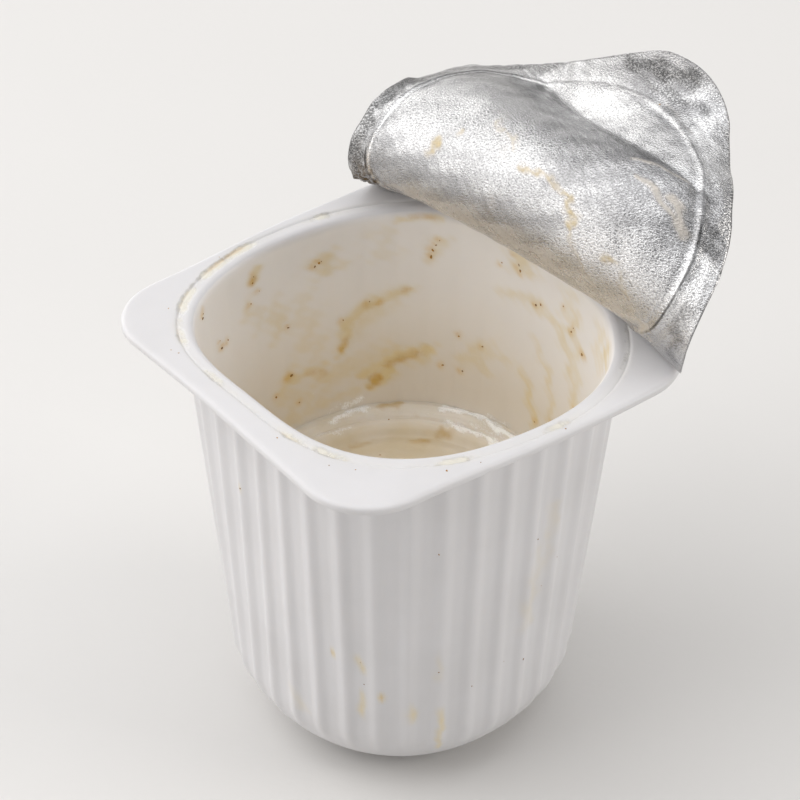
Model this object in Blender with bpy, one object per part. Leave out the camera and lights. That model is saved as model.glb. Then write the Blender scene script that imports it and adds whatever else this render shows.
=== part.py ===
"""A thermoformed yogurt pot with a square flange, its peeled foil lid, and the yogurt left in it.

Metres, +Z up. The origin is at the middle of the pot's foot, and the flange's sides lie along X and Y.
The lid is still bonded to the flange on the +Y side.
"""
import math

import bmesh
import bpy
import numpy as np

MM = 0.001

# Rim: a square flange with a turned-down lip, around a rounder mouth.
RIM_HEIGHT = 70.4 * MM
FLANGE_HALF = 32.0 * MM
FLANGE_CORNER = 10.3 * MM
LIP_HEIGHT = 1.3 * MM
SHEET = 0.75 * MM
BEAD_OFFSET = 2.3 * MM
MOUTH_DROP = 0.35 * MM

# Wall: a squircle at the rim that turns into a circle at the foot.
RIM_HALF = 28.56 * MM
RIM_POWER = 2.68
HEEL_HALF = 25.87 * MM
HEEL_POWER = 2.08
RIM_WALL = 1.2 * MM
HEEL_WALL = 0.8 * MM

# Heel: an elliptical rounding that the flat foot cuts short.
HEEL_HEIGHT = 14.9 * MM
HEEL_DROP = 16.9 * MM
HEEL_REACH = 18.57 * MM
FLOOR_HEIGHT = 1.3 * MM
GROOVE_OUTER = 12.2 * MM
GROOVE_INNER = 6.4 * MM
GROOVE_DEPTH = 0.5 * MM
GROOVE_SLOPE = 0.4 * MM

# Flutes: narrow upright ribs around the outside of the wall.
FLUTES = 36
FLUTE_HEIGHT = 0.55 * MM
FLUTE_TOP = (RIM_HEIGHT - 2.2 * MM, RIM_HEIGHT - 4.5 * MM)
FLUTE_FOOT = (4.0 * MM, 11.0 * MM)

# The used pot is a little out of true: waves of the rim's height and of the wall's radius.
# Each is (waves in a turn, size, direction of the first crest in degrees).
RIM_WAVES = ((2, 1.25 * MM, -71.0), (3, 0.44 * MM, -33.0), (4, 0.35 * MM, 0.0), (5, 0.25 * MM, 33.0))
WALL_WAVES = ((2, 0.84 * MM, 26.0), (3, 0.31 * MM, -37.0))
WAVE_DEPTH = 12.0 * MM
RIM_SHIFT = (0.17 * MM, 0.56 * MM)

# Yogurt left in the pot: a ledge along the wall around a scraped hollow.
YOGURT_LEVEL = 34.0 * MM
LEDGE_INNER = 23.4 * MM
LEDGE_DIP = 0.7 * MM
HOLLOW_RADIUS = 21.6 * MM
HOLLOW_LEVEL = 31.8 * MM
GAP = 0.3 * MM

# Lid: a foil sheet of the flange's outline, bonded behind the crease and curled back before it.
FOIL = 0.3 * MM
CREASE_BACK = 27.6 * MM
CREASE_BACK_X = 14.0 * MM
CREASE_BOW = 3.6
PEEL_LENGTH = 57.0 * MM
PEEL_SETTLE = 8.0 * MM
PEEL_SLOPES = (
    (5, 70, 150, 195, 205, 215, 255),
    (30, 40, 110, 160, 205, 215, 175),
    (35, 20, 60, 130, 220, 225, 100),
    (35, 100, 150, 135, 190, 150, 80),
)
PEEL_LEANS = (
    (20, -5, -25, -45),
    (-10, 5, -20, -50),
    (40, -5, -40, -40),
    (40, -20, -55, -35),
)

SIDES = 144
COARSE_SIDES = 72


def turn(count):
    """Angles of a full turn, in equal steps."""
    return np.arange(count) * (2 * math.pi / count)


def waves(angle, terms):
    """A sum of cosine waves around the pot's axis."""
    return sum(size * np.cos(count * (angle - math.radians(crest))) for count, size, crest in terms)


def squircle(angle, half, power):
    """Radius of the curve |x|^power + |y|^power = half^power."""
    return half / (np.abs(np.cos(angle)) ** power + np.abs(np.sin(angle)) ** power) ** (1 / power)


def rounded_square(angle, half, corner):
    """Radius of a square with round corners."""
    long_side = np.maximum(np.abs(np.cos(angle)), np.abs(np.sin(angle)))
    short_side = np.minimum(np.abs(np.cos(angle)), np.abs(np.sin(angle)))
    centre = half - corner
    straight = half / long_side
    along = centre * (long_side + short_side)
    across = centre * (long_side - short_side)
    rounded = along + np.sqrt(np.maximum(corner**2 - across**2, 0))
    return np.where(straight * short_side <= centre, straight, rounded)


def rise_share(height):
    """0 at the top of the heel and 1 at the rim."""
    return np.clip((height - HEEL_HEIGHT) / (RIM_HEIGHT - HEEL_HEIGHT), 0, 1)


def flute(angle, height):
    """How far the ribs stand proud at a height: a rib at 5 degrees and every 10 from there."""
    rib = ((1 - np.cos(FLUTES * angle)) / 2) ** 2
    below_rim = np.clip((FLUTE_TOP[0] - height) / (FLUTE_TOP[0] - FLUTE_TOP[1]), 0, 1)
    above_foot = np.clip((height - FLUTE_FOOT[0]) / (FLUTE_FOOT[1] - FLUTE_FOOT[0]), 0, 1)
    return FLUTE_HEIGHT * rib * below_rim * above_foot


def wall_ring(angle, height, inset=0.0, fluted=False):
    """A ring of the wall, inset from its outer face; the rim's waves fade out below the flange."""
    share = rise_share(height)
    half = HEEL_HALF + (RIM_HALF - HEEL_HALF) * share - inset
    power = HEEL_POWER + (RIM_POWER - HEEL_POWER) * share
    radius = squircle(angle, half, power) + share * waves(angle, WALL_WAVES)
    if fluted:
        radius = radius + flute(angle, height)
    settle = np.clip((height - RIM_HEIGHT + WAVE_DEPTH) / WAVE_DEPTH, 0, 1) ** 2
    x = radius * np.cos(angle) + share * RIM_SHIFT[0]
    y = radius * np.sin(angle) + share * RIM_SHIFT[1]
    return np.stack([x, y, height + settle * waves(angle, RIM_WAVES)], axis=1)


def heel_ring(angle, sweep, inset=0.0, fluted=False):
    """A ring of the heel: sweep is 0 where it meets the wall and grows towards the foot."""
    height = HEEL_HEIGHT - HEEL_DROP * math.sin(sweep)
    half = HEEL_HALF - HEEL_REACH * (1 - math.cos(sweep))
    outward = math.atan2(HEEL_REACH * math.sin(sweep), HEEL_DROP * math.cos(sweep))
    radius = squircle(angle, half, HEEL_POWER) - inset * math.cos(outward)
    if fluted:
        radius = radius + flute(angle, height)
    level = np.full(len(angle), height + inset * math.sin(outward))
    return np.stack([radius * np.cos(angle), radius * np.sin(angle), level], axis=1)


def flange_ring(angle, inset, drop):
    """A ring of the flange, inset from its outer edge and below its top face."""
    radius = rounded_square(angle, FLANGE_HALF - inset, FLANGE_CORNER - inset)
    height = RIM_HEIGHT - drop + waves(angle, RIM_WAVES)
    return np.stack([radius * np.cos(angle), radius * np.sin(angle), height], axis=1)


def flat_ring(angle, radius, height):
    """A level circle around the pot's axis."""
    return np.stack([radius * np.cos(angle), radius * np.sin(angle), np.full(len(angle), height)], axis=1)


def heel_sweeps(steps, lowest):
    """Sweep angles from the wall down to a height."""
    return np.linspace(0, math.asin((HEEL_HEIGHT - lowest) / HEEL_DROP), steps + 1)


def loft(name, rings):
    """A closed mesh through the rings, in order; a ring may have twice the points of its neighbour."""
    shape = bmesh.new()
    loops = [[shape.verts.new(point) for point in ring] for ring in rings]
    for first, second in zip(loops, loops[1:]):
        fine, coarse = (first, second) if len(first) >= len(second) else (second, first)
        step = len(fine) // len(coarse)
        for index in range(len(coarse)):
            following = (index + 1) % len(coarse)
            edge = [fine[(index * step + offset) % len(fine)] for offset in range(step + 1)]
            shape.faces.new(edge + [coarse[following], coarse[index]])
    for loop in (loops[0], loops[-1]):
        centre = shape.verts.new(sum((vertex.co for vertex in loop), loop[0].co * 0) / len(loop))
        for index, vertex in enumerate(loop):
            shape.faces.new([vertex, loop[(index + 1) % len(loop)], centre])
    return finish_mesh(name, shape)


def finish_mesh(name, shape):
    """Turn the faces outwards and put the mesh in an object."""
    bmesh.ops.recalc_face_normals(shape, faces=shape.faces)
    mesh = bpy.data.meshes.new(name)
    shape.to_mesh(mesh)
    shape.free()
    mesh.shade_smooth()
    mesh.set_sharp_from_angle(angle=math.radians(40))
    node = bpy.data.objects.new(name, mesh)
    bpy.context.scene.collection.objects.link(node)
    return node


def add_material(node, color, roughness, metallic=0.0):
    """One plain material in the piece's own colour."""
    material = bpy.data.materials.new(node.name + "_material")
    material.use_nodes = True
    shader = material.node_tree.nodes["Principled BSDF"]
    shader.inputs["Base Color"].default_value = (*color, 1.0)
    shader.inputs["Roughness"].default_value = roughness
    shader.inputs["Metallic"].default_value = metallic
    node.data.materials.append(material)


def build_pot():
    """The pot's skin in one loft: inner floor, inner wall, mouth, flange, lip, fluted wall, foot."""
    fine = turn(SIDES)
    coarse = turn(COARSE_SIDES)
    rings = [flat_ring(coarse, GROOVE_INNER, FLOOR_HEIGHT)]
    for sweep in reversed(heel_sweeps(5, 0.6 * MM)):
        rings.append(heel_ring(coarse, sweep, HEEL_WALL))
    for share in (0.3, 0.6, 0.85):
        height = HEEL_HEIGHT + share * (RIM_HEIGHT - HEEL_HEIGHT)
        rings.append(wall_ring(coarse, height, HEEL_WALL + (RIM_WALL - HEEL_WALL) * share))
    rings.append(wall_ring(fine, RIM_HEIGHT - 1.5 * MM, RIM_WALL))
    rings.append(wall_ring(fine, RIM_HEIGHT - 0.8 * MM, RIM_WALL - 0.15 * MM))
    rings.append(wall_ring(fine, RIM_HEIGHT - MOUTH_DROP, RIM_WALL - 0.65 * MM))
    rings.append(wall_ring(fine, RIM_HEIGHT - MOUTH_DROP + 0.1 * MM, RIM_WALL - BEAD_OFFSET))
    rings.append(wall_ring(fine, RIM_HEIGHT, RIM_WALL - BEAD_OFFSET - 0.3 * MM))
    for inset, drop in (
        (0.7 * MM, 0),
        (0.2 * MM, 0.15 * MM),
        (0, 0.5 * MM),
        (0.05 * MM, LIP_HEIGHT),
        (SHEET - 0.15 * MM, LIP_HEIGHT),
        (SHEET, SHEET),
    ):
        rings.append(flange_ring(fine, inset, drop))
    rings.append(wall_ring(fine, RIM_HEIGHT - SHEET, -0.7 * MM))
    rings.append(wall_ring(fine, RIM_HEIGHT - SHEET - 0.5 * MM, -0.1 * MM))
    for height in (FLUTE_TOP[0], FLUTE_TOP[1], 52 * MM, 38 * MM, 26 * MM):
        rings.append(wall_ring(fine, height, 0, True))
    for sweep in heel_sweeps(7, 0.3 * MM):
        rings.append(heel_ring(fine, sweep, 0, True))
    for radius, height in (
        (15.6 * MM, 0),
        (GROOVE_OUTER + GROOVE_SLOPE, 0),
        (GROOVE_OUTER, GROOVE_DEPTH),
        (GROOVE_INNER, GROOVE_DEPTH),
        (GROOVE_INNER - GROOVE_SLOPE, 0),
    ):
        rings.append(flat_ring(coarse, radius, height))
    pot = loft("pot", rings)
    add_material(pot, (0.86, 0.86, 0.87), 0.35)


def build_yogurt():
    """The yogurt fills the foot of the pot up to its scraped top."""
    angle = turn(COARSE_SIDES)
    clear = HEEL_WALL + GAP
    rings = [flat_ring(angle, GROOVE_OUTER, FLOOR_HEIGHT + GAP)]
    for sweep in reversed(heel_sweeps(5, 0.6 * MM)):
        rings.append(heel_ring(angle, sweep, clear))
    share = rise_share(YOGURT_LEVEL)
    wall = HEEL_WALL + (RIM_WALL - HEEL_WALL) * share
    rings.append(wall_ring(angle, YOGURT_LEVEL, wall + GAP))
    rings.append(flat_ring(angle, LEDGE_INNER, YOGURT_LEVEL - LEDGE_DIP))
    rings.append(flat_ring(angle, HOLLOW_RADIUS, HOLLOW_LEVEL))
    rings.append(flat_ring(angle, HOLLOW_RADIUS / 2, HOLLOW_LEVEL))
    yogurt = loft("yogurt", rings)
    add_material(yogurt, (0.80, 0.72, 0.60), 0.3)


def crease(across):
    """Where the lid leaves the flange, as a Y for each X: a shallow bow."""
    return CREASE_BACK - CREASE_BOW * (across - CREASE_BACK_X) ** 2


def along_stations(values, share):
    """Values given at even stations from 0 to 1, joined by straight lines."""
    place = np.clip(share, 0, 1) * (len(values) - 1)
    weights = np.clip(1 - np.abs(place[..., None] - np.arange(len(values))), 0, None)
    return weights @ np.radians(values)


def across_sheet(rows, across, share):
    """Blend rows of station values over the sheet's width, from left to right, as a Bezier curve does."""
    right = (across / FLANGE_HALF + 1)[:, None] / 2
    last = len(rows) - 1
    return sum(
        math.comb(last, place) * right**place * (1 - right) ** (last - place) * along_stations(row, share)
        for place, row in enumerate(rows)
    )


def peel(across, along, lift):
    """Place points of the flat sheet. Before the crease each line of the sheet is a chain of arcs:
    its slope turns evenly from station to station, and the steps are added up. The rim's up and
    down fades out over the first part of it."""
    steps = 48
    start = crease(across)
    free = np.clip(start - along, 0, None)
    share = free[:, None] * (np.arange(steps) + 0.5) / steps / PEEL_LENGTH
    slope = across_sheet(PEEL_SLOPES, across, share)
    lean = across_sheet(PEEL_LEANS, across, share)
    stride = free / steps
    x = across + np.sin(lean).sum(axis=1) * stride
    y = np.maximum(along, start) - (np.cos(slope) * np.cos(lean)).sum(axis=1) * stride
    y = np.where(along > start, along, y)
    seat = RIM_HEIGHT + GAP + waves(np.arctan2(along, across), RIM_WAVES)
    held = np.clip(1 - free / PEEL_SETTLE, 0, 1)
    held = held * held * (3 - 2 * held)
    base = RIM_HEIGHT + GAP + held * waves(np.arctan2(start, across), RIM_WAVES)
    z = np.where(along > start, seat, base + (np.sin(slope) * np.cos(lean)).sum(axis=1) * stride)
    return np.stack([x, y, z + lift], axis=1)


def build_lid():
    """The lid: a grid over the sheet, as two faces a foil's thickness apart."""
    columns, rows = 25, 26
    centre = FLANGE_HALF - FLANGE_CORNER
    ends = FLANGE_CORNER * np.sin(np.linspace(0, math.pi / 2, 5))
    middle = np.linspace(-centre, centre, rows - 8)
    along = np.concatenate([-(centre + ends[:0:-1]), middle, centre + ends[1:]])
    over = np.clip(np.abs(along) - centre, 0, None)
    half = centre + np.sqrt(FLANGE_CORNER**2 - over**2)
    across = (half[:, None] * np.linspace(-1, 1, columns)).ravel()
    along = np.repeat(along, columns)
    face = peel(across, along, 0)
    grid = face.reshape(rows, columns, 3)
    normal = np.cross(np.gradient(grid, axis=1), np.gradient(grid, axis=0)).reshape(-1, 3)
    normal /= np.linalg.norm(normal, axis=1)[:, None]
    normal *= np.sign(normal[-1, 2])
    shape = bmesh.new()
    lower = [shape.verts.new(point) for point in face]
    upper = [shape.verts.new(point) for point in face + normal * FOIL]
    for row in range(rows - 1):
        for column in range(columns - 1):
            corner = row * columns + column
            cell = [corner, corner + 1, corner + columns + 1, corner + columns]
            shape.faces.new([lower[index] for index in cell])
            shape.faces.new([upper[index] for index in reversed(cell)])
    top = list(range(columns))
    right = [row * columns + columns - 1 for row in range(1, rows)]
    bottom = [(rows - 1) * columns + column for column in range(columns - 2, -1, -1)]
    left = [row * columns for row in range(rows - 2, 0, -1)]
    border = top + right + bottom + left
    for index, following in zip(border, border[1:] + border[:1]):
        shape.faces.new([lower[index], lower[following], upper[following], upper[index]])
    bmesh.ops.triangulate(shape, faces=shape.faces)
    lid = finish_mesh("foil_lid", shape)
    add_material(lid, (0.78, 0.78, 0.79), 0.3, 1.0)


for leftover in list(bpy.data.objects):
    bpy.data.objects.remove(leftover)
build_pot()
build_yogurt()
build_lid()
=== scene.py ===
"""A used yogurt pot: a white thermoformed pot with a fluted wall, its foil lid peeled back and
curled over, and the yogurt scraped down towards its foot. Metres, +Z up."""
import math

import bpy
import numpy as np
from mathutils import Matrix, Vector


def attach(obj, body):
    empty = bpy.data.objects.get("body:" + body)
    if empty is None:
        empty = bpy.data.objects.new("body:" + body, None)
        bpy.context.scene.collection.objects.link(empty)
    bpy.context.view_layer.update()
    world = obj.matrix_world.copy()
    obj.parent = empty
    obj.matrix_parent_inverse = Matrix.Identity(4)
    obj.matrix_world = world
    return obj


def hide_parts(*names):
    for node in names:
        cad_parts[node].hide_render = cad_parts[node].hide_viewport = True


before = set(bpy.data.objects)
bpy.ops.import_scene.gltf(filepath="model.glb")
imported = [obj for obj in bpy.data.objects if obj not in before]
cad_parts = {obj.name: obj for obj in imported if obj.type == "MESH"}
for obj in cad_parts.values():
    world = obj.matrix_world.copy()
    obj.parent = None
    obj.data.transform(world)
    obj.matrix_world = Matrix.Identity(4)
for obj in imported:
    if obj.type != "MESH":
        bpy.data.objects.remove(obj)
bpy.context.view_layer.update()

MM = 0.001


# ---- Studio: a flat pale card under the pot, five soft area lights (left, in front and above, low in
# ---- front, behind on the right, and overhead) and a long lens looking down into the pot.
CAMERA_PLACE = Vector((0.2915, -0.21605, 0.3582))
CAMERA_TARGET = Vector((-0.01131, 0.00838, 0.04494))
CAMERA_ROLL = math.radians(-0.506)
CAMERA_LENS, CAMERA_SENSOR, CAMERA_NEAR = 144.0, 36.0, 0.02
FLOOR_HALF = 1.6
FLOOR_POINTS = 41
FLOOR_COLOR = (0.7, 0.69, 0.675)
FLOOR_MOTTLE = 0.985
WORLD_COLOR = (0.83, 0.82, 0.82)
WORLD_STRENGTH = 0.4
scene = bpy.context.scene


class Wire:
    """A socket in a material's nodes. Python's operators on it add the Math nodes."""

    def __init__(self, tree, socket=None):
        self.tree = tree
        self.socket = socket

    def node(self, kind, inputs=None, output=0, **settings):
        """Add a node with these values or links of its sockets, and these settings."""
        made = self.tree.nodes.new("ShaderNode" + kind)
        for name, value in settings.items():
            setattr(made, name, value)
        for name, value in (inputs or {}).items():
            if isinstance(value, Wire):
                self.tree.links.new(value.socket, made.inputs[name])
            else:
                made.inputs[name].default_value = value
        return Wire(self.tree, made.outputs[output])

    def math(self, operation, *values):
        """A Math node on numbers or sockets."""
        return self.node("Math", dict(enumerate(values)), operation=operation)

    def __add__(self, other):
        return self.math("ADD", self, other)

    def __sub__(self, other):
        return self.math("SUBTRACT", self, other)

    def __rsub__(self, other):
        return self.math("SUBTRACT", other, self)

    def __mul__(self, other):
        return self.math("MULTIPLY", self, other)

    __radd__ = __add__
    __rmul__ = __mul__

    def step(self, low, high, start=0.0, end=1.0):
        """A smooth step from start to end as the value goes from low to high."""
        values = {"Value": self, "From Min": low, "From Max": high, "To Min": start, "To Max": end}
        return self.node("MapRange", values, interpolation_type="SMOOTHSTEP")

    def mix(self, first, second):
        """A colour: the first where the value is 0 and the second where it is 1."""
        colors = {6: first, 7: second}
        colors = {place: c if isinstance(c, Wire) else (*c, 1.0) for place, c in colors.items()}
        return self.node("Mix", {0: self, **colors}, 2, data_type="RGBA")

    def noise(self, scale, detail=2.0, roughness=0.5, distortion=0.0):
        """Noise at the coordinates that the socket carries."""
        values = {"Scale": scale, "Detail": detail, "Roughness": roughness, "Distortion": distortion}
        return self.node("TexNoise", {"Vector": self, **values})

    def stretched(self, scale, angle):
        """The coordinates stretched and turned by a Mapping node."""
        return self.node("Mapping", {"Vector": self, "Scale": scale, "Rotation": angle})

    def layer(self, name, output="Fac"):
        """A layer of numbers that the mesh carries."""
        return self.node("Attribute", None, output, attribute_name=name)

    def bump(self, strength, distance, **base):
        """The normal of a surface that the value raises by up to a distance in metres."""
        return self.node("Bump", {"Height": self, "Strength": strength, "Distance": distance, **base})


def start_material(piece, name, **constants):
    """Give a piece a material whose Principled shader has these constant values. Returns the shader
    and a wire to add nodes with."""
    material = bpy.data.materials.new(name)
    piece.data.materials.append(material)
    material.use_nodes = True
    shader = material.node_tree.nodes["Principled BSDF"]
    for label, value in constants.items():
        shader.inputs[label.replace("_", " ")].default_value = value
    return shader, Wire(material.node_tree)


def connect(shader, **wires):
    """Link wires to the sockets of a shader."""
    for label, wire in wires.items():
        wire.tree.links.new(wire.socket, shader.inputs[label.replace("_", " ")])


def surface(name, points, closed=False):
    """A mesh object through one or more grids of points, rows by columns. closed joins the last
    column to the first, and fills the first and the last row."""
    rows, columns = points.shape[-3:-1]
    index = np.arange(points.size // 3).reshape(-1, rows, columns)
    ends = np.concatenate([index[:, 0, ::-1], index[:, -1]])
    if closed:
        index = np.concatenate([index, index[..., :1]], axis=2)
    corners = (index[:, :-1, :-1], index[:, :-1, 1:], index[:, 1:, 1:], index[:, 1:, :-1])
    faces = np.stack(corners, axis=-1).reshape(-1, 4).tolist() + (ends.tolist() if closed else [])
    mesh = bpy.data.meshes.new(name)
    mesh.from_pydata(points.reshape(-1, 3), [], faces)
    mesh.shade_smooth()
    piece = bpy.data.objects.new(name, mesh)
    scene.collection.objects.link(piece)
    return piece


def paint(piece, **layers):
    """Store numbers for each vertex in named layers, which a material reads."""
    for name, values in layers.items():
        layer = piece.data.attributes.new(name, "FLOAT", "POINT")
        layer.data.foreach_set("value", np.ascontiguousarray(values, np.float32).ravel())


back = (CAMERA_PLACE - CAMERA_TARGET).normalized()
right = Vector((0, 0, 1)).cross(back).normalized()
up = back.cross(right)
turned = right * math.cos(CAMERA_ROLL) + up * math.sin(CAMERA_ROLL)
raised = up * math.cos(CAMERA_ROLL) - right * math.sin(CAMERA_ROLL)
camera = bpy.data.objects.new("camera", bpy.data.cameras.new("camera"))
camera.matrix_world = Matrix((turned, raised, back)).transposed().to_4x4()
camera.location = CAMERA_PLACE
camera.data.lens = CAMERA_LENS
camera.data.sensor_width = CAMERA_SENSOR
camera.data.clip_start = CAMERA_NEAR
scene.collection.objects.link(camera)
scene.camera = camera

floor_x, floor_y = np.meshgrid(*[np.linspace(-1, 1, FLOOR_POINTS)] * 2)
floor = surface("floor", FLOOR_HALF * np.stack([floor_x, floor_y, np.zeros_like(floor_x)], axis=-1))
shader, wire = start_material(floor, "floor_card", Roughness=0.75)
place = wire.node("TexCoord", output="Object")
mottle = place.noise(9.0, 3.0)
connect(
    shader,
    Base_Color=mottle.step(0.3, 0.7).mix(FLOOR_COLOR, tuple(FLOOR_MOTTLE * c for c in FLOOR_COLOR)),
    Normal=place.noise(900.0).bump(0.05, 0.5 * MM),
)

world = bpy.data.worlds.new("studio")
scene.world = world
world.use_nodes = True
sky = world.node_tree.nodes["Background"].inputs
sky["Color"].default_value = (*WORLD_COLOR, 1.0)
sky["Strength"].default_value = WORLD_STRENGTH
scene.view_settings.view_transform = "Standard"

# Name, place, aim, width, height, power in watts, colour.
LIGHTS = (
    ("left", (-0.88, -0.22, 0.3), (0, 0, 0.06), 1.6, 0.42, 4.2, (1.0, 0.985, 0.97)),
    ("key", (-0.46, -0.72, 1.05), (0, 0, 0.04), 1.3, 1.2, 9.4, (1.0, 0.99, 0.985)),
    ("low", (-0.03, -0.9, 0.12), (0, 0, 0.05), 0.7, 0.35, 1.2, (1.0, 0.95, 0.9)),
    ("fill", (0.66, 0.62, 0.38), (0, 0, 0.04), 0.5, 0.5, 3.3, (1.0, 0.965, 0.92)),
    ("top", (-0.05, 0.12, 1.2), (0, 0, 0.05), 1.2, 1.2, 6.5, (0.98, 0.985, 1.0)),
)
for name, place, aim, width, height, power, color in LIGHTS:
    lamp = bpy.data.lights.new(name, "AREA")
    lamp.shape = "RECTANGLE"
    lamp.size, lamp.size_y = width, height
    lamp.energy, lamp.color = power, color
    holder = bpy.data.objects.new(name, lamp)
    holder.location = place
    holder.rotation_euler = (Vector(aim) - Vector(place)).to_track_quat("-Z", "Y").to_euler()
    scene.collection.objects.link(holder)


# ---- Pot: white polystyrene sheet, vacuum-formed in a fluted mould, with a flat square flange
# ---- around a rounder mouth. Dried yogurt is left on its wall and in the groove by the mouth.
RIM_HEIGHT = 70.4 * MM
FLANGE_HALF = 32.0 * MM
FLANGE_CORNER = 10.3 * MM
SHEET = 0.75 * MM
RIM_HALF, RIM_POWER, RIM_WALL = 28.56 * MM, 2.68, 1.2 * MM
HEEL_HALF, HEEL_POWER, HEEL_WALL = 25.87 * MM, 2.08, 0.8 * MM
HEEL_HEIGHT, HEEL_DROP, HEEL_REACH = 14.9 * MM, 16.9 * MM, 18.57 * MM
FLOOR_HEIGHT = 1.3 * MM
GROOVE_OUTER, GROOVE_INNER = 12.2, 6.4
# The flange's flat top: it starts this far outside the wall and ends this far inside the flange's edge.
LAND_START, LAND_END = 1.85 * MM, 0.8 * MM
FLUTES = 36
POINTS_PER_FLUTE = 12
FLUTE_HEIGHT = 0.55 * MM
FLUTE_TOP = (RIM_HEIGHT - 2.2 * MM, RIM_HEIGHT - 4.5 * MM)
FLUTE_FOOT = (4.5 * MM, 13.0 * MM)
INNER_FLUTE = 0.09 * MM
# Waves in a turn, size, and direction of the first crest in degrees: the pot is a little out of true.
RIM_WAVES = ((2, 1.25 * MM, -71.0), (3, 0.44 * MM, -33.0), (4, 0.35 * MM, 0.0), (5, 0.25 * MM, 33.0))
WALL_WAVES = ((2, 0.84 * MM, 26.0), (3, 0.31 * MM, -37.0))
WAVE_DEPTH = 12.0 * MM
RIM_SHIFT = (0.17 * MM, 0.56 * MM)
POT_WHITE = (0.68, 0.673, 0.682)
POT_SHADE = (0.65, 0.642, 0.648)
FILM_WHITE = (0.93, 0.905, 0.88)
FILM_CREAM = (0.785, 0.725, 0.635)
SMEAR_YELLOW = (0.76, 0.585, 0.2)
SMEAR_BROWN = (0.6, 0.32, 0.025)
HALO_RUST = (0.71, 0.44, 0.05)
CRUST_CREAM = (0.79, 0.73, 0.52)
# The colour of painted glints on wet yogurt.
GLINT_WHITE = (0.95, 0.935, 0.9)


def waves(angle, terms):
    """A sum of cosines around the pot: size times cos(count times (angle - crest))."""
    return sum(size * np.cos(count * (angle - math.radians(crest))) for count, size, crest in terms)


def squircle(angle, half, power):
    """Radius of |x|^power + |y|^power = half^power."""
    return half / (np.abs(np.cos(angle)) ** power + np.abs(np.sin(angle)) ** power) ** (1 / power)


def rounded_square(angle, half, corner):
    """Radius of a square with round corners: straight sides, and corner circles between them."""
    major = np.maximum(np.abs(np.cos(angle)), np.abs(np.sin(angle)))
    minor = np.minimum(np.abs(np.cos(angle)), np.abs(np.sin(angle)))
    centre = half - corner
    across = centre * (major - minor)
    rounded = centre * (major + minor) + np.sqrt(np.maximum(corner**2 - across**2, 0))
    return np.where(half / major * minor <= centre, half / major, rounded)


def ease(value):
    """A smooth step: 0 below 0, 1 above 1, and 3v^2 - 2v^3 between them."""
    value = np.clip(value, 0, 1)
    return value * value * (3 - 2 * value)


def bell(value, width, middle=0.0):
    """A smooth hill, 1 at the middle: exp(-((value - middle) / width) squared)."""
    return np.exp(-(((value - middle) / width) ** 2))


def rise_share(height):
    """0 at the top of the heel and 1 at the rim."""
    return np.clip((height - HEEL_HEIGHT) / (RIM_HEIGHT - HEEL_HEIGHT), 0, 1)


def wall_at(height):
    """Thickness of the wall at a height."""
    return HEEL_WALL + (RIM_WALL - HEEL_WALL) * rise_share(height)


def flute(angle, height, size):
    """Ribs: size times ((1 - cos(36 angle)) / 2) squared, fading out near the flange and the foot."""
    rib = ((1 - np.cos(FLUTES * angle)) / 2) ** 2
    top = ease((FLUTE_TOP[0] - height) / (FLUTE_TOP[0] - FLUTE_TOP[1]))
    foot = ease((height - FLUTE_FOOT[0]) / (FLUTE_FOOT[1] - FLUTE_FOOT[0]))
    return size * rib * top * foot


def wall_ring(angle, height, inset, ribs=0.0):
    """A ring of the wall: a squircle between the heel's and the rim's, less inset, plus waves and ribs.
    The rim's up and down fades out below the flange."""
    share = rise_share(height)
    half = HEEL_HALF + (RIM_HALF - HEEL_HALF) * share - inset
    power = HEEL_POWER + (RIM_POWER - HEEL_POWER) * share
    radius = squircle(angle, half, power) + share * waves(angle, WALL_WAVES) + flute(angle, height, ribs)
    settle = np.clip((height - RIM_HEIGHT + WAVE_DEPTH) / WAVE_DEPTH, 0, 1) ** 2
    x = radius * np.cos(angle) + share * RIM_SHIFT[0]
    y = radius * np.sin(angle) + share * RIM_SHIFT[1]
    return np.stack([x, y, height + settle * waves(angle, RIM_WAVES)], axis=-1)


def heel_ring(angle, sweep, inset, ribs=0.0):
    """A ring of the heel, an elliptical rounding: sweep is 0 at the wall and grows towards the foot."""
    height = HEEL_HEIGHT - HEEL_DROP * math.sin(sweep)
    half = HEEL_HALF - HEEL_REACH * (1 - math.cos(sweep))
    outward = math.atan2(HEEL_REACH * math.sin(sweep), HEEL_DROP * math.cos(sweep))
    radius = squircle(angle, half, HEEL_POWER) - inset * math.cos(outward) + flute(angle, height, ribs)
    return level_ring(angle, radius, height + inset * math.sin(outward))


def heel_sweeps(steps, lowest):
    """Sweeps from the wall down to a height."""
    return np.linspace(0, math.asin((HEEL_HEIGHT - lowest) / HEEL_DROP), steps + 1)


def flange_ring(angle, inset, drop):
    """A ring of the flange, inset from its outer edge and below its top face, which waves up and down."""
    radius = rounded_square(angle, FLANGE_HALF - inset, FLANGE_CORNER - inset)
    return level_ring(angle, radius, RIM_HEIGHT - drop + waves(angle, RIM_WAVES))


def level_ring(angle, radius, height):
    """Points at angles around the pot's axis, at a radius and a height."""
    return np.stack([radius * np.cos(angle), radius * np.sin(angle), height + 0 * angle], axis=-1)


points_around = FLUTES * POINTS_PER_FLUTE
around = np.arange(points_around) * (2 * math.pi / points_around)
inner_heights = np.concatenate([[20, 28], np.linspace(32, RIM_HEIGHT / MM - 1.5, 76)]) * MM
rings = [level_ring(around, GROOVE_INNER * MM, FLOOR_HEIGHT)]
rings += [heel_ring(around, sweep, HEEL_WALL) for sweep in reversed(heel_sweeps(4, 0.6 * MM))]
rings += [wall_ring(around, height, wall_at(height), INNER_FLUTE) for height in inner_heights]
inside_rings = len(rings)
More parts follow.
